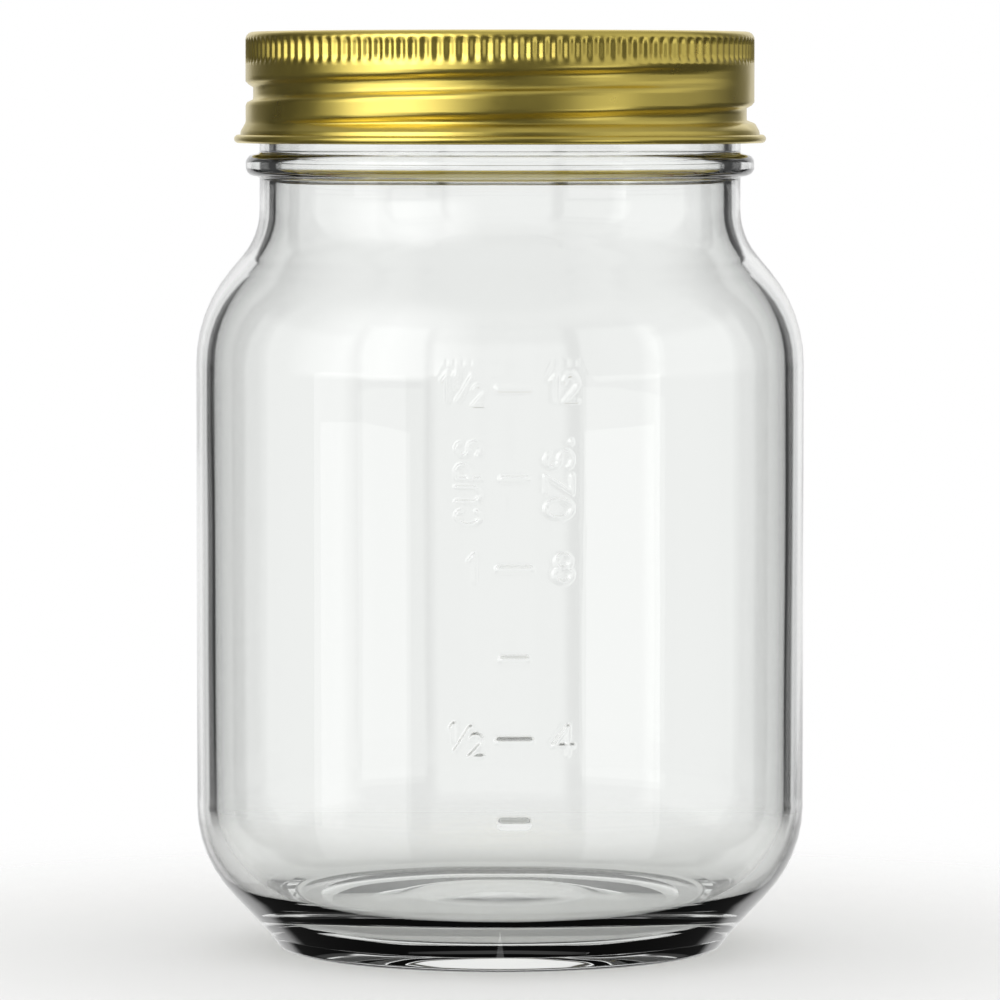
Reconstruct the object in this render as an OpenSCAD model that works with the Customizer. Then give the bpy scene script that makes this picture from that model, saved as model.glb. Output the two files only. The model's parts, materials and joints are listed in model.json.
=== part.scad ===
// Clear glass food jar with a shouldered body, closed by a two-piece screw lid:
// a flat disc with a sealing ring, held down by a separate threaded band.
// The origin is on the table under the jar's axis, +Z points up, and the measuring scale faces -Y.
// The thread itself isn't drawn here: the neck and the band's skirt only leave room for it.

/* [Overall] */
// Height of the glass from the table to the rim
jar_h = 125.3; // [100:0.1:160]
// Outer diameter of the body
body_d = 84; // [70:0.5:110]
// Outer diameter of the neck, at the root of its thread
neck_d = 65.6; // [55:0.2:80]

/* [Glass] */
// Thickness of the body wall and the shoulder
wall = 2.5; // [1.8:0.1:4]
// Thickness of the neck wall
neck_wall = 2.2; // [1.8:0.1:3.5]
// Slope of the heel inside, away from the upright
inner_heel_angle = 46.8; // [40:0.1:52]
// Thickness of the glass across the top of the heel's slope
heel_wall = 3.15; // [2.2:0.05:4]
// Radius inside, where the wall turns into the heel
inner_heel_r = 13; // [4:0.5:16]
// Height of the floor's edge inside, above the table
floor_t = 4.8; // [4.2:0.1:9]
// Rise of the floor's crown inside
floor_crown = 1; // [0.2:0.1:2]
// Radius inside, where the heel meets the floor
floor_corner_r = 0.8; // [0.5:0.1:4]

/* [Shoulder] */
// Slope of the shoulder away from the upright
shoulder_angle = 40; // [30:1:60]
// Radius where the body turns into the shoulder
shoulder_r = 20; // [4:0.5:24]
// Radius where the shoulder turns into the neck
neck_r = 13; // [2:0.5:14]
// Height of the plain neck below the bead
neck_h = 7.7; // [6:0.1:14]

/* [Foot] */
// Height at which the heel's slope would meet the upright wall
heel_h = 12.9; // [10:0.1:18]
// Slope of the heel away from the upright
heel_angle = 43; // [35:1:50]
// Radius where the body turns into the heel
heel_r = 17.5; // [4:0.5:20]
// Height of the foot below the heel
foot_h = 2.5; // [1.8:0.1:3]
// How far the foot draws in from the heel down to the table
foot_draft = 2.5; // [1:0.1:3]
// Radius on the foot's lower edge
foot_edge_r = 1.2; // [0.5:0.1:2]
// Width of the flat ring that the jar stands on
bearing_w = 5.2; // [2:0.1:6]
// Rise of the hollow under the floor
push_up = 1.5; // [0.5:0.1:3]
// Width of the sloping edge of the hollow, inside the ring
hollow_edge_w = 4; // [3:0.5:12]

/* [Neck finish] */
// Height from the top of the bead to the rim
finish_h = 15.3; // [13:0.1:20]
// Height of the bead under the lid
bead_h = 3.3; // [2.5:0.1:5]
// How far the bead stands out from the neck
bead_out = 2.2; // [1.6:0.1:2.4]
// How far the thread stands out from the neck
thread_out = 1.75; // [1.2:0.05:2]
// Radius on each edge of the rim
rim_r = 0.85; // [0.4:0.05:0.95]

/* [Measuring scale] */
// Height of the lowest mark, which stands for 2 fluid ounces
first_mark_z = 21.4; // [20:0.1:30]
// Step between the three lowest marks
lower_step = 10.9; // [8:0.1:11]
// Step between the marks above them
upper_step = 12; // [8:0.1:12.5]
// Length of a mark that carries a number
long_mark = 5.6; // [4:0.1:8]
// Length of a mark between two numbers
short_mark = 4.6; // [3:0.1:7]
// Width of a mark
mark_w = 1.5; // [1:0.1:2]
// How far a mark stands out from the wall
mark_out = 0.45; // [0.2:0.05:0.7]
// Turn of the scale from the front, in degrees
scale_turn = 2.6; // [-10:0.1:10]

/* [Lid] */
// Thickness of the band's sheet
band_t = 0.28; // [0.2:0.02:0.5]
// Height of the band
band_h = 15.3; // [14:0.1:18]
// Width of the flange over the edge of the disc
flange_w = 5.3; // [4:0.1:7]
// Number of flutes round the band
flutes = 130; // [60:1:180]
// Depth of a flute
flute_depth = 0.35; // [0.2:0.05:0.5]
// Height of the fluted collar
flute_h = 3; // [2:0.1:5]
// How far the collar stands out from the skirt
collar_out = 0.15; // [0:0.05:0.5]
// How far the curl stands out from the skirt
curl_out = 1.7; // [1.4:0.05:2.5]
// Diameter of the curl
curl_d = 1.15; // [1:0.05:1.6]
// Thickness of the disc's sheet
disc_t = 0.22; // [0.16:0.02:0.4]
// Height of the disc's turned-down edge
disc_edge = 1.3; // [0.8:0.1:1.8]
// Depth of the disc's panel below its channel
panel_drop = 1; // [0.6:0.1:1.6]
// Radius of the raised button in the middle of the disc
button_radius = 11; // [6:0.5:16]
// Width of the button's sloping edge
button_edge_w = 5; // [2.5:0.5:5.5]
// Rise of the button
button_rise = 0.6; // [0.3:0.05:0.8]
// Thickness of the sealing ring
seal_t = 0.5; // [0.3:0.05:0.9]
// How far the sealing ring reaches out past the rim's outside
seal_overhang = 0.2; // [0:0.05:0.4]

/* [Clearances] */
// Gap between the rim and the ring, and between the disc and the flange
seat_gap = 0.2; // [0.1:0.05:0.3]
// Gap between the thread and the band's skirt
thread_gap = 0.17; // [0.1:0.01:0.6]
// Gap between the disc's edge and the flutes
disc_gap = 0.5; // [0.3:0.05:0.8]
// Gap between the disc's step and the mouth
step_gap = 0.6; // [0.4:0.05:1]
// Gap between the disc's step and the sealing ring
seal_inset = 0.45; // [0.2:0.05:0.8]

/* [Hidden] */
$fn = 120;

// Largest turn between two neighbouring points of an arc, in degrees
arc_step = 9;

body_radius = body_d / 2;
neck_radius = neck_d / 2;
mouth_radius = neck_radius - neck_wall;

// Heights of the neck's parts, from the rim down
bead_top = jar_h - finish_h;
bead_bottom = bead_top - bead_h;
bead_edge = 0.4;
bead_root_r = 0.35;
bead_arc = min(1.2, (bead_h / 2 - bead_edge) * 0.98);
neck_corner_z = bead_bottom - neck_h;
shoulder_drop = (body_radius - neck_radius) / tan(shoulder_angle);
shoulder_z = neck_corner_z - shoulder_drop;

// The shoulder's two arcs share its slope, so they shrink together where the slope is short
shoulder_run = (body_radius - neck_radius) / sin(shoulder_angle);
shoulder_fit = min(1, 0.98 * shoulder_run / ((shoulder_r + neck_r) * tan(shoulder_angle / 2)));
body_arc = shoulder_r * shoulder_fit;
neck_arc = neck_r * shoulder_fit;

// The scale has as many marks as the upright wall has room for
wall_top = shoulder_z - body_arc * tan(shoulder_angle / 2);
mark_count = 3 + floor((wall_top - mark_w / 2 - mark_z(2)) / upper_step);

// The heel's slope ends at the foot, whose side runs on down to the table
foot_radius = body_radius - (heel_h - foot_h) * tan(heel_angle);
foot_slope = atan2(foot_h, foot_draft);
foot_edge = min(foot_edge_r, 0.9 * norm([foot_h, foot_draft]) / tan(foot_slope / 2));
bearing_outer = foot_radius - foot_draft;
bearing_inner = bearing_outer - foot_edge * tan(foot_slope / 2) - bearing_w;

// The hollow under the floor is level in the middle and slopes down to the ring
hollow_radius = bearing_inner - hollow_edge_w;
hollow_slope = atan2(push_up, hollow_edge_w);
hollow_top_r = min(5, 0.5 * hollow_edge_w / tan(hollow_slope / 2));
hollow_foot_r = 0.8;

// Inside, the heel's slope starts where the glass across it is heel_wall thick
inner_radius = body_radius - wall;
inner_heel_z = heel_h + (heel_wall - wall * cos(heel_angle)) / sin(heel_angle);
floor_radius = inner_radius - (inner_heel_z - floor_t) * tan(inner_heel_angle);
floor_level_radius = 6;
floor_level_r = 40;

// The band: heights and radii follow the rim and the thread
disc_under = jar_h + seat_gap + seal_t;
band_top = disc_under + disc_t + seat_gap + band_t;
band_bottom = band_top - band_h;
skirt_radius = neck_radius + thread_out + thread_gap + band_t;
band_corner_r = 1.1;
flutes_top = band_top - band_corner_r;
flutes_bottom = flutes_top - flute_h;
collar_radius = skirt_radius + collar_out;
flute_inset = 0.15;
flute_root = collar_radius - flute_inset - flute_depth - band_t;
land_h = 0.3;
land_radius = flute_root - flute_inset;

// The skirt flares out over its last stretch and is rolled into the curl
flare_h = 1.25;
flare_r = 0.5;
curl_neck_h = 0.6;
curl_neck_r = 0.35;
curl_end = 460;

// The disc: its edge clears the flutes and its step clears the mouth
disc_radius = land_radius - disc_gap;
step_radius = mouth_radius - step_gap;
step_slope_w = 0.4;
disc_bend_r = 0.4;
button_top_r = 6;
button_foot_r = 3;

// Points of the arc of radius r that rounds corner b of the path a, b, c
function corner_arc(a, b, c, r) =
    let (
        u = (a - b) / norm(a - b),
        v = (c - b) / norm(c - b),
        half = acos(max(-1, min(1, u * v))) / 2,
        centre = b + (u + v) / norm(u + v) * r / sin(half),
        start = b + u * r / tan(half) - centre,
        end = b + v * r / tan(half) - centre,
        from = atan2(start[1], start[0]),
        turn = (atan2(end[1], end[0]) - from + 540) % 360 - 180,
        steps = max(2, ceil(abs(turn) / arc_step))
    )
    [for (i = [0 : steps]) centre + r * [cos(from + turn * i / steps), sin(from + turn * i / steps)]];

// Points of an open path through the corners [x, y, radius]
function rounded_path(corners) =
    [for (i = [0 : len(corners) - 1])
        let (c = corners[i], p = [c[0], c[1]])
        each (i == 0 || i == len(corners) - 1 || c[2] == 0)
            ? [p]
            : corner_arc(
                [corners[i - 1][0], corners[i - 1][1]],
                p,
                [corners[i + 1][0], corners[i + 1][1]],
                c[2]
            )];

// Points of an arc about a centre
function arc(centre, r, from, to) =
    let (steps = max(2, ceil(abs(to - from) / arc_step)))
    [for (i = [0 : steps]) centre + r * [cos(from + (to - from) * i / steps), sin(from + (to - from) * i / steps)]];

// Offset of each point of a path along its mean normal
function offset_path(path, d) =
    [for (i = [0 : len(path) - 1])
        let (
            before = path[max(i - 1, 0)],
            after = path[min(i + 1, len(path) - 1)],
            a = i == 0 ? after - path[i] : path[i] - before,
            b = i == len(path) - 1 ? a : after - path[i],
            na = [-a[1], a[0]] / norm(a),
            nb = [-b[1], b[0]] / norm(b),
            mean = (na + nb) / norm(na + nb)
        )
        path[i] + mean * d / (mean * na)];

// Outline of a sheet of thickness t whose middle follows the path
function sheet_outline(path, t) =
    let (left = offset_path(path, t / 2), right = offset_path(path, -t / 2))
    concat(left, [for (i = [len(right) - 1 : -1 : 0]) right[i]]);

// Height at which a wall's inner corner lies when both its sides move in by their thickness
function inner_corner(z, upright_t, slope_t, angle) = z + (upright_t * cos(angle) - slope_t) / sin(angle);

// Half section of the glass: the outside from the middle of the hollow up to the rim, then the
// inside down to the middle of the floor
jar_outside = rounded_path([
    [0, push_up, 0],
    [hollow_radius, push_up, hollow_top_r],
    [bearing_inner, 0, hollow_foot_r],
    [bearing_outer, 0, foot_edge],
    [foot_radius, foot_h, 0],
    [body_radius, heel_h, heel_r],
    [body_radius, shoulder_z, body_arc],
    [neck_radius, neck_corner_z, neck_arc],
    [neck_radius, bead_bottom, bead_root_r],
    [neck_radius + bead_out, bead_bottom + bead_edge, bead_arc],
    [neck_radius + bead_out, bead_top - bead_edge, bead_arc],
    [neck_radius, bead_top, bead_root_r],
    [neck_radius, jar_h, rim_r],
    [mouth_radius, jar_h, 0],
]);
jar_inside = rounded_path([
    [neck_radius, jar_h, 0],
    [mouth_radius, jar_h, rim_r],
    [mouth_radius, inner_corner(neck_corner_z, neck_wall, wall, shoulder_angle), neck_arc + wall],
    [inner_radius, inner_corner(shoulder_z, wall, wall, shoulder_angle), max(body_arc - wall, 0.5)],
    [inner_radius, inner_heel_z, inner_heel_r],
    [floor_radius, floor_t, floor_corner_r],
    [floor_level_radius, floor_t + floor_crown, floor_level_r],
    [0, floor_t + floor_crown, 0],
]);
jar_section = concat(
    [for (i = [0 : len(jar_outside) - 2]) jar_outside[i]],
    [for (i = [1 : len(jar_inside) - 1]) jar_inside[i]]
);

// Height of mark number i, counted from the lowest
function mark_z(i) = first_mark_z + min(i, 2) * lower_step + max(i - 2, 0) * upper_step;

// Outline of a ring of flutes, whose crests and roots take turns
function fluted(radius) =
    [for (i = [0 : 2 * flutes - 1])
        let (a = 180 * i / flutes, r = radius - flute_depth * (i % 2))
        r * [cos(a), sin(a)]];

// Flat ring between two radii
module washer(inner, outer, z, h) {
    translate([0, 0, z])
        difference() {
            cylinder(r = outer, h = h);
            translate([0, 0, -h]) cylinder(r = inner, h = 3 * h);
        }
}

// Raised bar of the measuring scale, with round ends, laid across the front of the wall
module mark(length, z) {
    r = mark_w / 2;
    reach = length / 2 - r;
    rotate([0, 0, scale_turn])
        translate([0, r - mark_out - body_radius, z])
        rotate([0, 90, 0]) {
            translate([0, 0, -reach]) cylinder(r = r, h = 2 * reach);
            for (end = [-reach, reach]) translate([0, 0, end]) sphere(r = r);
        }
}

module glass_jar() {
    color([0.87, 0.91, 0.9, 0.45]) {
        rotate_extrude() polygon(jar_section);
        for (i = [0 : mark_count - 1]) mark(i % 2 == 1 ? long_mark : short_mark, mark_z(i));
    }
}

module lid_disc() {
    channel = disc_under + disc_t / 2;
    panel = channel - panel_drop;
    step = step_radius - disc_t / 2;
    edge = disc_radius - disc_t / 2;
    path = rounded_path([
        [0, panel + button_rise, 0],
        [button_radius - button_edge_w, panel + button_rise, button_top_r],
        [button_radius, panel, button_foot_r],
        [step - step_slope_w, panel, disc_bend_r],
        [step, channel, disc_bend_r],
        [edge, channel, disc_bend_r],
        [edge, channel - disc_edge, 0],
    ]);
    color([0.82, 0.74, 0.42]) rotate_extrude() polygon(sheet_outline(path, disc_t));
}

module sealing_ring() {
    inner = step_radius + seal_inset;
    outer = neck_radius + seal_overhang;
    edge_r = seal_t / 3;
    section = rounded_path([
        [inner, disc_under, 0],
        [inner, disc_under - seal_t, edge_r],
        [outer, disc_under - seal_t, edge_r],
        [outer, disc_under, 0],
    ]);
    color([0.78, 0.36, 0.2]) rotate_extrude() polygon(section);
}

module screw_band() {
    middle = skirt_radius - band_t / 2;
    collar = collar_radius - band_t / 2;
    curl_r = (curl_d - band_t) / 2;
    curl = [skirt_radius + curl_out - curl_d / 2, band_bottom + curl_d / 2];
    flange = rounded_path([
        [collar_radius - flange_w, band_top - band_t / 2, 0],
        [collar, band_top - band_t / 2, band_corner_r - band_t / 2],
        [collar, flutes_top - land_h / 2, 0],
    ]);
    skirt = concat(
        rounded_path([
            [middle, flutes_bottom + land_h / 2, 0],
            [middle, curl[1] + flare_h, flare_r],
            [curl[0] - curl_r, curl[1] + curl_neck_h, curl_neck_r],
            [curl[0] - curl_r, curl[1], 0],
        ]),
        arc(curl, curl_r, 180 + arc_step, curl_end)
    );
    color([0.72, 0.66, 0.34]) {
        rotate_extrude() polygon(sheet_outline(flange, band_t));
        washer(land_radius, collar_radius, flutes_top - land_h, land_h);
        translate([0, 0, flutes_bottom + land_h])
            linear_extrude(flute_h - 2 * land_h)
                difference() {
                    polygon(fluted(collar_radius - flute_inset));
                    polygon(fluted(collar_radius - flute_inset - band_t));
                }
        washer(land_radius, collar_radius, flutes_bottom, land_h);
        rotate_extrude() polygon(sheet_outline(skirt, band_t));
    }
}

glass_jar();
lid_disc();
sealing_ring();
screw_band();
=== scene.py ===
"""Looks of a clear glass food jar with a two-piece gold screw lid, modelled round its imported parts."""

import json
import math

import bmesh
import bpy
from bpy.props import FloatProperty, FloatVectorProperty, IntProperty, PointerProperty, StringProperty
import numpy as np
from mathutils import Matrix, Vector


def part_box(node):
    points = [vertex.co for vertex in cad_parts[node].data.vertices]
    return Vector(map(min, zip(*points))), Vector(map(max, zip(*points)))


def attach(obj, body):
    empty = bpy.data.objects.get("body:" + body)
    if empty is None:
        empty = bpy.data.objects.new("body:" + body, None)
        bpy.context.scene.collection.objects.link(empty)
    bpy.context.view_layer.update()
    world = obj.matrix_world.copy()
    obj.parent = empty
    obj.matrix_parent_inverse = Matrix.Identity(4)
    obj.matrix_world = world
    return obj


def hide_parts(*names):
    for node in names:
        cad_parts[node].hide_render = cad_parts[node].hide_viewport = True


bl_info = {
    "name": "Screw-top food jar",
    "version": (1, 0),
    "blender": (4, 5, 0),
    "location": "3D View > Sidebar > Food jar",
    "description": "Builds a clear glass food jar with its disc, sealing ring and threaded band",
    "category": "Object",
}

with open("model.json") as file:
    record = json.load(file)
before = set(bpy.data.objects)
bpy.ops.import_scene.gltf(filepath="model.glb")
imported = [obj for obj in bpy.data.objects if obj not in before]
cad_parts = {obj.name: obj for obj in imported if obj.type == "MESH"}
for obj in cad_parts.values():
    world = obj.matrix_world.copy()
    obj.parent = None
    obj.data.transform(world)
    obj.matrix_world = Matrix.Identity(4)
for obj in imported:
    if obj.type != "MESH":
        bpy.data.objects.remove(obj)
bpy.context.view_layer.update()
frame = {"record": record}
MM = 0.001
CARD_FOLD = 45
CARD_FROM = 25
CARD_EDGE = 4
CARD_TOP = 20
CARD_GREY = 0.05
GLASS_WHITE = 0.93
LOW_GLOW = 1.0

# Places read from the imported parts
JAR_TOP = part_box("glass_jar")[1].z
BODY_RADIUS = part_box("glass_jar")[1].x
BAND_LOW, BAND_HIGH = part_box("screw_band")
DISC_LOW, DISC_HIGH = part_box("lid_disc")
RING_LOW, RING_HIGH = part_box("sealing_ring")
PITCH = frame["record"]["behaviour"]["couplings"][0]["ratio"] * 2 * math.pi

# Steps round the axis, and the largest turn between two points of a rounded corner
JAR_STEPS = 240
FLUTE_STEPS = 6
DISC_STEPS = 260
ARC_STEP = math.radians(7.5)
SHEET_ARC_STEP = math.radians(20)

# Figures on the wall, in millimetres: text, distance round the wall from the front, height of
# its foot above the table, width and height of one figure, and whether it reads upwards
LETTERING = (
    ("1", -7.85, 77.5, 1.9, 3.5, False),
    ("1", -6.2, 79.3, 1.0, 1.9, False),
    ("/", -5.7, 77.5, 2.0, 3.3, False),
    ("2", -3.6, 77.0, 1.6, 2.6, False),
    ("1", -4.3, 53.5, 1.9, 3.6, False),
    ("1", -6.6, 32.3, 1.0, 2.3, False),
    ("/", -5.9, 31.1, 2.0, 3.1, False),
    ("2", -4.1, 30.3, 1.8, 2.9, False),
    ("1", 6.6, 77.5, 1.9, 3.5, False),
    ("2", 8.4, 77.5, 2.1, 3.5, False),
    ("8", 7.1, 53.5, 2.6, 3.6, False),
    ("4", 7.1, 30.6, 2.7, 3.6, False),
    ("CUPS", -2.6, 61.0, 2.3, 3.2, True),
    ("OZS.", 9.6, 62.0, 2.5, 3.6, True),
)

# Strokes of each figure in a box one unit wide and high. A stroke is a run of points, or an
# arc given by its centre, its two radii and its first and last angle
FIGURES = {
    "1": [[(0.1, 0.78), (0.45, 1.0), (0.45, 0.0)]],
    "2": [(0.48, 0.7, 0.44, 0.3, 165, -35), [(0.84, 0.53), (0.05, 0.0), (0.95, 0.0)]],
    "4": [[(0.72, 0.0), (0.72, 1.0), (0.02, 0.3), (0.98, 0.3)]],
    "8": [(0.5, 0.75, 0.38, 0.25, 0, 360), (0.5, 0.26, 0.46, 0.26, 0, 360)],
    "/": [[(0.0, 0.0), (1.0, 1.0)]],
    "C": [(0.5, 0.5, 0.45, 0.5, 45, 315)],
    "U": [[(0.08, 1.0), (0.08, 0.35)], (0.5, 0.35, 0.42, 0.35, 180, 360), [(0.92, 0.35), (0.92, 1.0)]],
    "P": [[(0.1, 0.0), (0.1, 1.0), (0.55, 1.0)], (0.55, 0.73, 0.35, 0.27, 90, -90), [(0.55, 0.46), (0.1, 0.46)]],
    "S": [(0.5, 0.74, 0.4, 0.26, 30, 270), (0.5, 0.25, 0.42, 0.25, 90, -150)],
    "O": [(0.5, 0.5, 0.48, 0.5, 0, 360)],
    "Z": [[(0.05, 1.0), (0.95, 1.0), (0.05, 0.0), (0.95, 0.0)]],
    ".": [[(0.1, 0.03), (0.2, 0.03)]],
}


class JarSizes(bpy.types.PropertyGroup):
    """Sizes of the glass"""

    wall: FloatProperty(name="Wall", description="Thickness of the body wall", default=2.5 * MM, unit="LENGTH")
    neck_wall: FloatProperty(
        name="Neck wall", description="Thickness of the neck wall", default=2.2 * MM, unit="LENGTH"
    )
    neck_radius: FloatProperty(
        name="Neck radius", description="Radius of the neck at the thread's root", default=33.2 * MM, unit="LENGTH"
    )
    floor: FloatProperty(name="Floor", description="Height of the floor inside", default=5.4 * MM, unit="LENGTH")
    push_up: FloatProperty(
        name="Push-up", description="Rise of the hollow under the floor", default=2.2 * MM, unit="LENGTH"
    )
    floor_corner: FloatProperty(
        name="Floor corner", description="Radius inside, between wall and floor", default=15 * MM, unit="LENGTH"
    )
    heel: FloatProperty(
        name="Heel", description="Height where the heel's slope meets the wall", default=12.9 * MM, unit="LENGTH"
    )
    heel_angle: FloatProperty(
        name="Heel slope", description="Slope of the heel", default=math.radians(43), unit="ROTATION"
    )
    shoulder_angle: FloatProperty(
        name="Shoulder slope", description="Slope of the shoulder", default=math.radians(40), unit="ROTATION"
    )
    finish: FloatProperty(
        name="Finish", description="Height from the bead to the rim", default=15.3 * MM, unit="LENGTH"
    )
    bead: FloatProperty(name="Bead", description="Height of the bead", default=3.3 * MM, unit="LENGTH")
    bead_out: FloatProperty(
        name="Bead reach", description="How far the bead stands out", default=1.9 * MM, unit="LENGTH"
    )
    neck: FloatProperty(
        name="Plain neck", description="Height of the neck below the bead", default=8 * MM, unit="LENGTH"
    )
    thread_out: FloatProperty(
        name="Thread reach", description="How far the thread stands out", default=1.5 * MM, unit="LENGTH"
    )
    thread_width: FloatProperty(
        name="Thread width", description="Width of the thread at its root", default=2.6 * MM, unit="LENGTH"
    )
    figure_width: FloatProperty(
        name="Figure stroke", description="Width of the raised figures' strokes", default=1.0 * MM, unit="LENGTH"
    )
    figure_out: FloatProperty(
        name="Figure reach", description="How far the figures stand out", default=0.34 * MM, unit="LENGTH"
    )
    mark_width: FloatProperty(name="Mark", description="Width of a scale mark", default=1.5 * MM, unit="LENGTH")
    mark_out: FloatProperty(
        name="Mark reach", description="How far a scale mark stands out", default=0.45 * MM, unit="LENGTH"
    )


class LidSizes(bpy.types.PropertyGroup):
    """Sizes of the band and the disc"""

    sheet: FloatProperty(
        name="Band sheet", description="Thickness of the band's sheet", default=0.28 * MM, unit="LENGTH"
    )
    flange: FloatProperty(
        name="Flange", description="Width of the flange over the disc", default=5.3 * MM, unit="LENGTH"
    )
    flutes: IntProperty(name="Flutes", description="Number of flutes round the band", default=130, min=12)
    flute_depth: FloatProperty(
        name="Flute depth", description="Depth of a flute", default=0.35 * MM, unit="LENGTH"
    )
    flute_height: FloatProperty(
        name="Flute height", description="Height of the fluted collar", default=3.0 * MM, unit="LENGTH"
    )
    groove_depth: FloatProperty(
        name="Groove depth", description="Depth of the rolled thread", default=1.05 * MM, unit="LENGTH"
    )
    groove_width: FloatProperty(
        name="Groove width", description="Width of the rolled thread", default=3.0 * MM, unit="LENGTH"
    )
    curl: FloatProperty(
        name="Curl", description="Diameter of the rolled bottom edge", default=1.15 * MM, unit="LENGTH"
    )
    curl_out: FloatProperty(
        name="Curl reach", description="How far the curl stands out", default=1.6 * MM, unit="LENGTH"
    )
    disc_sheet: FloatProperty(
        name="Disc sheet", description="Thickness of the disc's sheet", default=0.22 * MM, unit="LENGTH"
    )
    panel_drop: FloatProperty(
        name="Panel drop", description="Depth of the disc's panel", default=1.0 * MM, unit="LENGTH"
    )
    button: FloatProperty(
        name="Button", description="Radius of the button in the disc", default=11 * MM, unit="LENGTH"
    )


class Finishes(bpy.types.PropertyGroup):
    """Colours as sRGB hex values"""

    glass: StringProperty(name="Glass", description="Tint of the glass", default="FDFEFD")
    lacquer: StringProperty(name="Gold lacquer", description="Colour of the lacquered tinplate", default="EBD56B")
    compound: StringProperty(name="Compound", description="Colour of the sealing ring", default="8E4A2C")
    floor: StringProperty(name="Floor", description="Colour of the floor", default="F9F9F8")


def linear(value):
    """Linear colour of an sRGB hex value"""
    parts = [int(value[i : i + 2], 16) / 255 for i in (0, 2, 4)]
    return [c / 12.92 if c <= 0.04045 else ((c + 0.055) / 1.055) ** 2.4 for c in parts] + [1.0]


def add_node(tree, kind, settings=None, **inputs):
    """Adds a node. An input's name has _ for a space, or is in0, in1 by place, and its value may be a socket"""
    new = tree.nodes.new(kind)
    for name, value in (settings or {}).items():
        setattr(new, name, value)
    for name, value in inputs.items():
        socket = new.inputs[int(name[2:])] if name[:2] == "in" and name[2:].isdigit() else new.inputs[name.replace("_", " ")]
        if isinstance(value, bpy.types.NodeSocket):
            tree.links.new(value, socket)
        else:
            socket.default_value = value
    return new


def new_material(name):
    """An empty node material and its tree"""
    material = bpy.data.materials.new(name)
    material.use_nodes = True
    material.node_tree.nodes.clear()
    return material, material.node_tree


def finish_material(tree, shader):
    add_node(tree, "ShaderNodeOutputMaterial", Surface=shader.outputs[0])


def clear_glass(finishes):
    """Soda-lime glass, pressed and blown in a mould. The blown wall is a little uneven, so what is
    seen through it wavers"""
    material, tree = new_material("clear_glass")
    place = add_node(tree, "ShaderNodeTexCoord").outputs["Object"]
    stretched = add_node(tree, "ShaderNodeMapping", Vector=place, Scale=(1.0, 1.0, 0.35)).outputs[0]
    # Waves of about 14 mm across and 40 mm along the jar
    waves = add_node(tree, "ShaderNodeTexNoise", Vector=stretched, Scale=70.0, Detail=1.0)
    bump = add_node(
        tree, "ShaderNodeBump", Strength=0.12, Distance=0.4 * MM, Height=waves.outputs[0]
    )
    shader = add_node(
        tree,
        "ShaderNodeBsdfPrincipled",
        Base_Color=linear(finishes.glass),
        Roughness=0.0,
        IOR=1.52,
        Transmission_Weight=1.0,
        Normal=bump.outputs[0],
    )
    finish_material(tree, shader)
    return material


def lacquered_tinplate(finishes):
    """Rolled tinplate under a gold stoving lacquer: a soft satin metal with fine rolling grain"""
    material, tree = new_material("gold_lacquered_tinplate")
    place = add_node(tree, "ShaderNodeTexCoord").outputs["Object"]
    # Grain of about 0.2 mm, drawn a little coarser than the real one so that it shows
    grain = add_node(tree, "ShaderNodeTexNoise", Vector=place, Scale=4500.0, Detail=2.0)
    # Clouds of 6 mm, where the lacquer lies thicker or thinner
    clouds = add_node(tree, "ShaderNodeTexNoise", Vector=place, Scale=160.0, Detail=3.0)
    roughness = add_node(
        tree, "ShaderNodeMapRange", Value=clouds.outputs[0], From_Min=0.3, From_Max=0.7, To_Min=0.27, To_Max=0.36
    )
    base = linear(finishes.lacquer)
    deeper = [c * 0.86 for c in base[:3]] + [1.0]
    colour = add_node(
        tree, "ShaderNodeMix", {"data_type": "RGBA"}, Factor=clouds.outputs[0], in6=base, in7=deeper
    )
    bump = add_node(tree, "ShaderNodeBump", Strength=0.08, Distance=0.02 * MM, Height=grain.outputs[0])
    shader = add_node(
        tree,
        "ShaderNodeBsdfPrincipled",
        Base_Color=colour.outputs[2],
        Metallic=1.0,
        Roughness=roughness.outputs[0],
        Coat_Weight=0.35,
        Coat_Roughness=0.18,
        Normal=bump.outputs[0],
    )
    finish_material(tree, shader)
    return material


def sealing_compound(finishes):
    """Soft plastisol flowed into the disc's channel: smooth, a little glossy, brick red"""
    material, tree = new_material("sealing_compound")
    place = add_node(tree, "ShaderNodeTexCoord").outputs["Object"]
    ripple = add_node(tree, "ShaderNodeTexNoise", Vector=place, Scale=500.0, Detail=2.0)
    bump = add_node(tree, "ShaderNodeBump", Strength=0.15, Distance=0.1 * MM, Height=ripple.outputs[0])
    shader = add_node(
        tree,
        "ShaderNodeBsdfPrincipled",
        Base_Color=linear(finishes.compound),
        Roughness=0.42,
        Normal=bump.outputs[0],
    )
    finish_material(tree, shader)
    return material


def step_to(bm, tip, place):
    """Draws the outline on from its tip to a place, and returns the new tip"""
    new = bmesh.ops.extrude_vert_indiv(bm, verts=[tip])["verts"][0]
    bmesh.ops.translate(bm, vec=place - new.co, verts=[new])
    return new


def swing(bm, tip, centre, end, arc_step=ARC_STEP):
    """Draws an arc about a centre from the tip to an end, and returns the new tip"""
    a = tip.co - centre
    b = end - centre
    turn = a.angle(b)
    steps = max(3, math.ceil(turn / arc_step))
    made = bmesh.ops.spin(bm, geom=[tip], cent=centre, axis=a.cross(b), angle=turn, steps=steps)
    return [v for v in made["geom_last"] if isinstance(v, bmesh.types.BMVert)][0]


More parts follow.
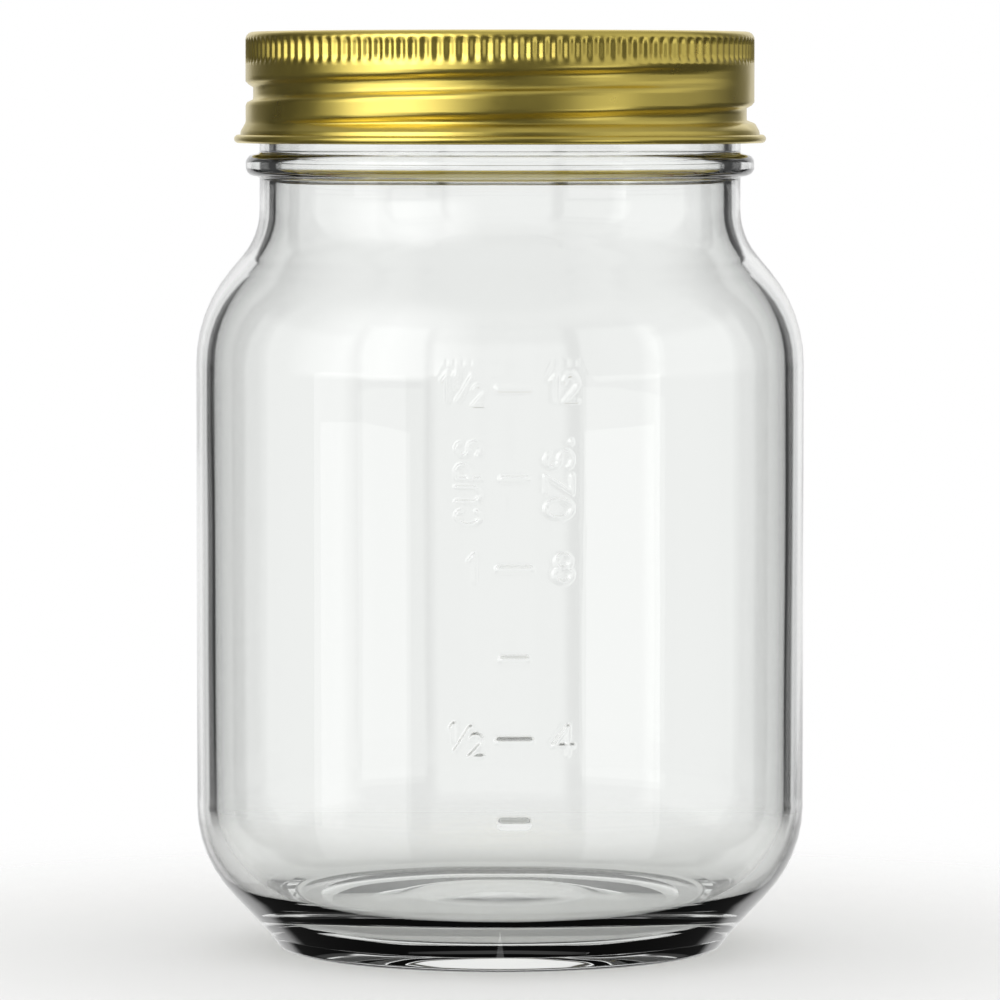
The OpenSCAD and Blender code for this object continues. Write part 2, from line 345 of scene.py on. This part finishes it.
def outline(bm, corners, arc_step=ARC_STEP):
    """Draws a half section through corners given as (radius, height, rounding)"""
    points = [Vector((r, 0, z)) for r, z, _ in corners]
    tip = bmesh.ops.create_vert(bm, co=points[0])["vert"][0]
    for i in range(1, len(points)):
        rounding = corners[i][2]
        if i == len(points) - 1 or rounding == 0:
            tip = step_to(bm, tip, points[i])
            continue
        back = (points[i - 1] - points[i]).normalized()
        on = (points[i + 1] - points[i]).normalized()
        half = back.angle(on) / 2
        centre = points[i] + (back + on).normalized() * rounding / math.sin(half)
        reach = rounding / math.tan(half)
        tip = step_to(bm, tip, points[i] + back * reach)
        tip = swing(bm, tip, centre, points[i] + on * reach, arc_step)
    return tip


def refine(bm, low, high, least_radius, pitch):
    """Splits the outline's edges between two heights and outside a radius to at most a pitch"""
    for edge in list(bm.edges):
        inside = all(low <= v.co.z <= high and v.co.x >= least_radius for v in edge.verts)
        cuts = math.ceil(edge.calc_length() / pitch) - 1
        if inside and cuts > 0:
            bmesh.ops.subdivide_edges(bm, edges=[edge], cuts=cuts)


def revolve(bm, steps, parts=10):
    """Spins the outline through one of some equal parts of a turn, then copies that part round"""
    part = 2 * math.pi / parts
    axis = (0, 0, 1)
    bmesh.ops.spin(bm, geom=bm.verts[:] + bm.edges[:], axis=axis, angle=part, steps=steps // parts)
    whole = bm.verts[:] + bm.edges[:] + bm.faces[:]
    bmesh.ops.spin(
        bm, geom=whole, axis=axis, angle=2 * math.pi - part, steps=parts - 1, use_duplicate=True, use_merge=True
    )
    bmesh.ops.remove_doubles(bm, verts=bm.verts[:], dist=0.002 * MM)
    bmesh.ops.recalc_face_normals(bm, faces=bm.faces[:])


def smooth(x):
    """Smooth step from 0 at 0 to 1 at 1"""
    x = min(1.0, max(0.0, x))
    return x * x * (3 - 2 * x)


def hump(distance, width):
    """Rounded ridge of height 1 and a width"""
    x = abs(distance) * 2 / width
    return 0.5 + 0.5 * math.cos(math.pi * x) if x < 1 else 0.0


def push_out(vertex, amount):
    """Moves a vertex away from the axis"""
    r = math.hypot(vertex.co.x, vertex.co.y)
    vertex.co.x *= (r + amount) / r
    vertex.co.y *= (r + amount) / r


def helix_gap(vertex, first_height, first_turn, last_turn):
    """Height of a vertex over the nearest turn of the thread, and how full the thread is there"""
    angle = math.degrees(math.atan2(vertex.co.y, vertex.co.x)) % 360
    best = None
    while angle <= last_turn + 360:
        over = vertex.co.z - (first_height + PITCH * (angle - first_turn) / 360)
        ends = min((angle - first_turn) / 40, (last_turn - angle) / 40)
        if ends > 0 and (best is None or abs(over) < abs(best[0])):
            best = (over, smooth(ends))
        angle += 360
    return best or (1.0, 0.0)


def make_piece(bm, name, node, body, material):
    """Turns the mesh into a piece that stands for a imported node"""
    mesh = bpy.data.meshes.new(name)
    bm.to_mesh(mesh)
    bm.free()
    mesh.shade_smooth()
    piece = bpy.data.objects.new(name, mesh)
    bpy.context.scene.collection.objects.link(piece)
    mesh.materials.append(material)
    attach(piece, body)
    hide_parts(node)
    return piece


def arc_points(cx, cy, rx, ry, first, last):
    """Points of an arc of a figure"""
    steps = max(4, round(abs(last - first) / 15))
    angles = [math.radians(first + (last - first) * i / steps) for i in range(steps + 1)]
    return [(cx + rx * math.cos(a), cy + ry * math.sin(a)) for a in angles]


def figure_lines():
    """Straight pieces of every raised figure, as pairs of places on the unrolled wall"""
    lines = []
    for text, left, foot, width, height, upwards in LETTERING:
        for number, letter in enumerate(text):
            for stroke in FIGURES[letter]:
                points = stroke if isinstance(stroke, list) else arc_points(*stroke)
                placed = []
                for x, y in points:
                    along = number * width * 1.3 + x * width
                    if upwards:
                        placed.append(Vector(((left - y * height) * MM, (foot + along) * MM)))
                    else:
                        placed.append(Vector(((left + along) * MM, (foot + y * height) * MM)))
                lines += zip(placed, placed[1:])
    return lines


def mark_lines(sizes):
    """Middle lines of the scale's bars, long ones beside the figures"""
    lines = []
    turn = 1.9 * MM
    for i in range(6):
        height = (21.4 + min(i, 2) * 10.9 + max(i - 2, 0) * 12) * MM
        reach = ((5.6 if i % 2 else 4.6) * MM - sizes.mark_width) / 2
        lines.append((Vector((turn - reach, height)), Vector((turn + reach, height))))
    return lines


def line_gaps(places, lines):
    """Distance of each place from the nearest of some straight pieces"""
    places = np.array(places)[:, None, :]
    start = np.array([a for a, _ in lines])[None]
    along = np.array([b - a for a, b in lines])[None]
    share = ((places - start) * along).sum(2) / (along**2).sum(2)
    nearest = start + along * np.clip(share, 0, 1)[..., None]
    return np.sqrt(((places - nearest) ** 2).sum(2)).min(1)


def wall_place(place):
    """Place on the unrolled wall: distance round it from the front, and height"""
    return math.atan2(place.x, -place.y) * BODY_RADIUS, place.z


def on_front_wall(place):
    """Whether a place is on the outside of the front wall, where the scale stands"""
    upright = abs(math.hypot(place.x, place.y) - BODY_RADIUS) < 0.1 * MM
    return upright and place.y < 0 and abs(place.x) < 14 * MM and 18 * MM < place.z < 84 * MM


def emboss(bm, sizes):
    """Raises the figures and the scale's bars out of the front wall"""
    groups = (
        (figure_lines(), sizes.figure_width, sizes.figure_out),
        (mark_lines(sizes), sizes.mark_width * 1.15, sizes.mark_out),
    )
    margin = 0.9 * MM
    faces = [face for face in bm.faces if on_front_wall(face.calc_center_median())]
    middles = [wall_place(face.calc_center_median()) for face in faces]
    near = np.zeros(len(faces), bool)
    for lines, width, _ in groups:
        near |= line_gaps(middles, lines) < margin + width / 2
    edges = {edge for face, close in zip(faces, near) if close for edge in face.edges}
    bmesh.ops.subdivide_edges(bm, edges=list(edges), cuts=6, use_grid_fill=True)
    vertices = [vertex for vertex in bm.verts if on_front_wall(vertex.co)]
    places = [wall_place(vertex.co) for vertex in vertices]
    rise = np.zeros(len(vertices))
    for lines, width, out in groups:
        share = np.minimum(1, line_gaps(places, lines) * 2 / width)
        rise = np.maximum(rise, out * (0.5 + 0.5 * np.cos(math.pi * share)))
    for vertex, height in zip(vertices, rise):
        push_out(vertex, BODY_RADIUS - math.hypot(vertex.co.x, vertex.co.y) + height)


class FOODJAR_OT_glass(bpy.types.Operator):
    """Builds the glass jar with its thread and its raised scale"""

    bl_idname = "food_jar.glass"
    bl_label = "Glass jar"

    def execute(self, context):
        s = context.scene.jar_sizes
        bead_top = JAR_TOP - s.finish
        bead_low = bead_top - s.bead
        neck_z = bead_low - s.neck
        slope = math.tan(s.shoulder_angle)
        shoulder_z = neck_z - (BODY_RADIUS - s.neck_radius) / slope
        foot_h = 2.2 * MM
        foot = BODY_RADIUS - (s.heel - foot_h) * math.tan(s.heel_angle)
        bearing = foot - 6.2 * MM
        mouth = s.neck_radius - s.neck_wall
        inner = BODY_RADIUS - s.wall
        crown = s.neck_radius + s.bead_out

        def inside(z, upright):
            return z + (upright * math.cos(s.shoulder_angle) - s.wall) / math.sin(s.shoulder_angle)

        bm = bmesh.new()
        outline(
            bm,
            [
                (0, s.push_up, 0),
                (bearing * 0.5, s.push_up, 14 * MM),
                (bearing, 0, 0.8 * MM),
                (foot - 1.6 * MM, 0, 1.6 * MM),
                (foot, foot_h, 0.4 * MM),
                (BODY_RADIUS, s.heel, 17.5 * MM),
                (BODY_RADIUS, shoulder_z, 20 * MM),
                (s.neck_radius, neck_z, 10 * MM),
                (s.neck_radius, bead_low, 0.35 * MM),
                (crown, bead_low + 0.4 * MM, 1.2 * MM),
                (crown, bead_top - 0.4 * MM, 1.2 * MM),
                (s.neck_radius, bead_top, 0.35 * MM),
                (s.neck_radius, JAR_TOP, 0.85 * MM),
                (mouth, JAR_TOP, 0.85 * MM),
                (mouth, inside(neck_z, s.neck_wall), 12.5 * MM),
                (inner, inside(shoulder_z, s.wall), 17.5 * MM),
                (inner, s.floor, s.floor_corner),
                (BODY_RADIUS * 0.25, s.floor, 0),
                (0, s.floor + 0.8 * MM, 0),
            ],
        )
        refine(bm, 15 * MM, 90 * MM, BODY_RADIUS - 0.1 * MM, 1.1 * MM)
        refine(bm, bead_top, JAR_TOP, s.neck_radius - 0.1 * MM, 0.25 * MM)
        revolve(bm, JAR_STEPS)
        first = 117.15 * MM - PITCH * 140 / 360
        for vertex in bm.verts:
            if vertex.co.z > bead_top and math.hypot(vertex.co.x, vertex.co.y) > s.neck_radius - 0.01 * MM:
                over, full = helix_gap(vertex, first, 220, 640)
                push_out(vertex, s.thread_out * hump(over, s.thread_width) * full)
        emboss(bm, s)
        jar = make_piece(bm, "glass", "glass_jar", "jar", clear_glass(context.scene.jar_finishes))
        jar.visible_shadow = False
        return {"FINISHED"}


def thicken(bm, thickness):
    """Gives an open sheet its thickness"""
    bmesh.ops.solidify(bm, geom=bm.faces[:], thickness=-thickness)
    bmesh.ops.recalc_face_normals(bm, faces=bm.faces[:])


class FOODJAR_OT_band(bpy.types.Operator):
    """Builds the screw band with its flutes, rolled thread and curl"""

    bl_idname = "food_jar.band"
    bl_label = "Screw band"

    def execute(self, context):
        s = context.scene.lid_sizes
        top = BAND_HIGH.z
        bottom = BAND_LOW.z
        skirt = BAND_HIGH.x - s.curl_out
        inner = skirt - s.sheet
        curl_r = s.curl / 2
        curl = Vector((BAND_HIGH.x - curl_r, 0, bottom + curl_r))
        flutes_top = top - 0.9 * MM
        flutes_low = flutes_top - s.flute_height

        bm = bmesh.new()
        tip = outline(
            bm,
            [
                (skirt - s.flange, top - s.sheet, 0),
                (inner, top - s.sheet, 0.8 * MM),
                (inner, curl.z + 2.2 * MM, 1.3 * MM),
                (curl.x - curl_r, curl.z + 0.9 * MM, 0.8 * MM),
                (curl.x - curl_r, curl.z, 0),
            ],
            SHEET_ARC_STEP,
        )
        for _ in range(3):
            end = curl + Vector((tip.co.x - curl.x, 0, tip.co.z - curl.z))
            quarter = Vector((-(end - curl).z, 0, (end - curl).x))
            tip = swing(bm, tip, curl, curl + quarter, SHEET_ARC_STEP)
        refine(bm, curl.z + 1.2 * MM, top - 0.9 * MM, inner - 0.1 * MM, 0.42 * MM)
        revolve(bm, s.flutes * FLUTE_STEPS)
        first = 115.4 * MM - PITCH * 160 / 360
        for vertex in bm.verts:
            z = vertex.co.z
            if z < curl.z + 1.2 * MM or math.hypot(vertex.co.x, vertex.co.y) < inner - 1 * MM:
                continue
            angle = math.atan2(vertex.co.y, vertex.co.x)
            collar = smooth((flutes_top - z) / (0.5 * MM)) * smooth((z - flutes_low + 0.5 * MM) / (0.9 * MM))
            flute = 0.5 - 0.5 * math.cos(s.flutes * angle)
            over, full = helix_gap(vertex, first, 200, 700)
            groove = smooth((s.groove_width / 2 - abs(over)) / (0.7 * MM)) * full
            push_out(vertex, -s.flute_depth * flute * collar - s.groove_depth * groove)
        thicken(bm, s.sheet)
        make_piece(
            bm,
            "band",
            "screw_band",
            "band",
            lacquered_tinplate(context.scene.jar_finishes),
        )
        return {"FINISHED"}


class FOODJAR_OT_disc(bpy.types.Operator):
    """Builds the disc with its channel, panel and button"""

    bl_idname = "food_jar.disc"
    bl_label = "Lid disc"

    def execute(self, context):
        s = context.scene.lid_sizes
        channel = RING_HIGH.z
        edge = DISC_HIGH.x - s.disc_sheet
        step = RING_LOW.x
        panel = channel - s.panel_drop
        step = math.hypot(30.4 * MM, 0) - s.disc_sheet
        bm = bmesh.new()
        outline(
            bm,
            [
                (0, panel + 0.6 * MM, 0),
                (s.button * 0.55, panel + 0.6 * MM, 6 * MM),
                (s.button, panel, 3 * MM),
                (step - 0.5 * MM, panel, 0.4 * MM),
                (step, channel, 0.4 * MM),
                (edge, channel, 0.4 * MM),
                (edge, DISC_LOW.z, 0),
            ],
        )
        revolve(bm, DISC_STEPS)
        thicken(bm, s.disc_sheet)
        material = bpy.data.materials["gold_lacquered_tinplate"]
        make_piece(bm, "disc", "lid_disc", "lid", material)
        return {"FINISHED"}


class FOODJAR_OT_ring(bpy.types.Operator):
    """Builds the sealing ring in the disc's channel"""

    bl_idname = "food_jar.ring"
    bl_label = "Sealing ring"

    def execute(self, context):
        outer = RING_HIGH.x
        inner = 30.85 * MM
        bm = bmesh.new()
        tip = outline(
            bm,
            [
                (inner, RING_HIGH.z, 0),
                (inner, RING_LOW.z, 0.17 * MM),
                (outer, RING_LOW.z, 0.17 * MM),
                (outer, RING_HIGH.z, 0),
            ],
        )
        step_to(bm, tip, Vector((inner, 0, RING_HIGH.z)))
        revolve(bm, DISC_STEPS)
        make_piece(
            bm,
            "ring",
            "sealing_ring",
            "lid",
            sealing_compound(context.scene.jar_finishes),
        )
        return {"FINISHED"}


def soft_box(name, azimuth, low, high, width, glow):
    """An upright lamp one metre from the jar, at a bearing from the camera's side, with two heights"""
    lamp = bpy.data.lights.new(name, "AREA")
    lamp.shape = "RECTANGLE"
    lamp.size = width
    lamp.size_y = high - low
    lamp.energy = glow * math.pi * width * (high - low)
    box = bpy.data.objects.new(name, lamp)
    bearing = math.radians(azimuth)
    box.location = (math.sin(bearing), -math.cos(bearing), (low + high) / 2)
    box.rotation_euler = (math.radians(90), 0, bearing)
    bpy.context.scene.collection.objects.link(box)
    return box


# What polished pieces see round them at the height of the lid: bearing from the camera's side in
# degrees, counted to the right, and brightness
STUDIO = (
    (-180, 0.4),
    (-150, 0.3),
    (-128, 0.03),
    (-88, 0.03),
    (-66, 2.2),
    (-44, 3.6),
    (-26, 2.2),
    (-8, 0.08),
    (26, 0.06),
    (44, 0.5),
    (62, 0.62),
    (100, 0.6),
    (128, 0.06),
    (150, 0.3),
    (180, 0.4),
)
STUDIO_PEAK = 4.0


def ramp_between(tree, value, low, high):
    """A soft step of a value from 0 at low to 1 at high"""
    step = add_node(
        tree,
        "ShaderNodeMapRange",
        {"interpolation_type": "SMOOTHSTEP"},
        Value=value,
        From_Min=low,
        From_Max=high,
    )
    return step.outputs[0]


def maths(tree, operation, first, second):
    """The result of a sum with two values"""
    return add_node(tree, "ShaderNodeMath", {"operation": operation}, in0=first, in1=second).outputs[0]


def mixed(tree, factor, first, second):
    """A mix of two colours"""
    return add_node(
        tree, "ShaderNodeMix", {"data_type": "RGBA"}, Factor=factor, in6=first, in7=second
    ).outputs[2]


def grey(value):
    return (value, value, value, 1.0)


def tilt(degrees):
    """Height on the unit ball of a direction that many degrees over the horizon"""
    return math.sin(math.radians(degrees))


def studio_world():
    """White surroundings for the eye and for glass, with dark cards round them that give clear
    glass its dark edge lines, a lit and a dark side for polished metal, and a plain level of
    light on everything else"""
    world = bpy.data.worlds.new("studio")
    bpy.context.scene.world = world
    world.use_nodes = True
    tree = world.node_tree
    tree.nodes.clear()
    rays = add_node(tree, "ShaderNodeLightPath")
    place = add_node(tree, "ShaderNodeTexCoord").outputs["Generated"]
    parts = add_node(tree, "ShaderNodeSeparateXYZ", Vector=place)
    height = parts.outputs["Z"]
    behind = maths(tree, "ARCTAN2", parts.outputs["X"], parts.outputs["Y"])
    folded = maths(tree, "PINGPONG", behind, math.radians(CARD_FOLD))
    beside = ramp_between(tree, folded, math.radians(CARD_FROM), math.radians(CARD_FROM + CARD_EDGE))
    over = ramp_between(tree, height, tilt(CARD_TOP), tilt(CARD_TOP + 8))
    card = maths(tree, "MAXIMUM", beside, over)
    through = mixed(tree, card, grey(GLASS_WHITE), grey(CARD_GREY))

    flipped = maths(tree, "MULTIPLY", parts.outputs["Y"], -1.0)
    bearing = maths(tree, "ARCTAN2", parts.outputs["X"], flipped)
    turn = maths(tree, "ADD", maths(tree, "DIVIDE", bearing, 2 * math.pi), 0.5)
    ramp = add_node(tree, "ShaderNodeValToRGB", Fac=turn)
    stops = ramp.color_ramp.elements
    while len(stops) > 1:
        stops.remove(stops[0])
    for number, (degrees, glow) in enumerate(STUDIO):
        stop = stops[0] if number == 0 else stops.new(degrees / 360 + 0.5)
        stop.position = degrees / 360 + 0.5
        stop.color = grey(glow / STUDIO_PEAK)
    walls = add_node(
        tree, "ShaderNodeVectorMath", {"operation": "SCALE"}, in0=ramp.outputs[0], Scale=STUDIO_PEAK
    ).outputs[0]
    upper = ramp_between(tree, height, tilt(-2), tilt(1))
    ceiling = ramp_between(tree, height, tilt(30), tilt(60))
    polished = mixed(tree, upper, grey(0.05), mixed(tree, ceiling, walls, grey(0.45)))

    backdrop = ramp_between(tree, maths(tree, "ABSOLUTE", behind, 0.0), math.radians(30), math.radians(22))
    edges = mixed(tree, backdrop, polished, grey(GLASS_WHITE))
    reflected = mixed(tree, rays.outputs["Is Transmission Ray"], edges, through)
    seen = add_node(
        tree,
        "ShaderNodeMath",
        {"operation": "ADD", "use_clamp": True},
        in0=rays.outputs["Is Transmission Ray"],
        in1=rays.outputs["Is Glossy Ray"],
    ).outputs[0]
    unscattered = add_node(
        tree,
        "ShaderNodeMath",
        {"operation": "SUBTRACT", "use_clamp": True},
        in0=seen,
        in1=rays.outputs["Diffuse Depth"],
    ).outputs[0]
    plain = mixed(tree, rays.outputs["Is Camera Ray"], grey(0.95), grey(1.0))
    background = add_node(
        tree, "ShaderNodeBackground", Color=mixed(tree, unscattered, plain, reflected), Strength=1.0
    )
    add_node(tree, "ShaderNodeOutputWorld", Surface=background.outputs[0])


def floor_material(finishes):
    """Matt white table top, which fades out into the white of the background away from the jar"""
    material, tree = new_material("table_top")
    place = add_node(tree, "ShaderNodeTexCoord").outputs["Object"]
    away = add_node(tree, "ShaderNodeVectorMath", {"operation": "LENGTH"}, in0=place)
    fade = add_node(
        tree,
        "ShaderNodeMapRange",
        {"interpolation_type": "SMOOTHSTEP"},
        Value=away.outputs["Value"],
        From_Min=0.05,
        From_Max=0.16,
    )
    matt = add_node(tree, "ShaderNodeBsdfDiffuse", Color=linear(finishes.floor))
    clear = add_node(tree, "ShaderNodeBsdfTransparent")
    shader = add_node(tree, "ShaderNodeMixShader", in0=fade.outputs[0], in1=matt.outputs[0], in2=clear.outputs[0])
    finish_material(tree, shader)
    return material


class FOODJAR_OT_stage(bpy.types.Operator):
    """Builds the floor, the lamps, the surroundings and the camera"""

    bl_idname = "food_jar.stage"
    bl_label = "Stage"

    def execute(self, context):
        bm = bmesh.new()
        bmesh.ops.create_circle(bm, cap_ends=True, segments=96, radius=0.2)
        mesh = bpy.data.meshes.new("floor")
        bm.to_mesh(mesh)
        bm.free()
        floor = bpy.data.objects.new("floor", mesh)
        context.scene.collection.objects.link(floor)
        mesh.materials.append(floor_material(context.scene.jar_finishes))
        floor.visible_glossy = False
        studio_world()
        soft_box("soft_box_left", -53.5, -0.5, 0.09, 0.69, LOW_GLOW)
        soft_box("soft_box_right", 46.5, -0.5, 0.09, 0.525, LOW_GLOW)

        lens = bpy.data.cameras.new("camera")
        lens.lens = 248.4
        lens.sensor_width = 36
        lens.clip_end = 50
        camera = bpy.data.objects.new("camera", lens)
        camera.location = (0, -0.954, 0.118)
        aim = Vector((0, 0, 0.062)) - camera.location
        camera.rotation_euler = aim.to_track_quat("-Z", "Y").to_euler()
        context.scene.collection.objects.link(camera)
        context.scene.camera = camera
        context.scene.view_settings.view_transform = "Standard"
        return {"FINISHED"}


class FOODJAR_PT_panel(bpy.types.Panel):
    """Lists the sizes, the finishes and the pieces to build"""

    bl_idname = "FOODJAR_PT_panel"
    bl_label = "Food jar"
    bl_space_type = "VIEW_3D"
    bl_region_type = "UI"
    bl_category = "Food jar"

    def draw(self, context):
        scene = context.scene
        for group in (scene.jar_sizes, scene.lid_sizes, scene.jar_finishes):
            box = self.layout.box()
            for name in group.__annotations__:
                box.prop(group, name)
        for operator in OPERATORS:
            self.layout.operator(operator.bl_idname)


GROUPS = {"jar_sizes": JarSizes, "lid_sizes": LidSizes, "jar_finishes": Finishes}
OPERATORS = (FOODJAR_OT_glass, FOODJAR_OT_band, FOODJAR_OT_disc, FOODJAR_OT_ring, FOODJAR_OT_stage)


def register():
    for name, group in GROUPS.items():
        bpy.utils.register_class(group)
        setattr(bpy.types.Scene, name, PointerProperty(type=group))
    for item in OPERATORS + (FOODJAR_PT_panel,):
        bpy.utils.register_class(item)


def unregister():
    for item in reversed(OPERATORS + (FOODJAR_PT_panel,)):
        bpy.utils.unregister_class(item)
    for name, group in GROUPS.items():
        delattr(bpy.types.Scene, name)
        bpy.utils.unregister_class(group)


def main():
    register()
    for operator in OPERATORS:
        group, name = operator.bl_idname.split(".")
        getattr(getattr(bpy.ops, group), name)()
    bpy.context.view_layer.update()


if __name__ == "__main__":
    main()
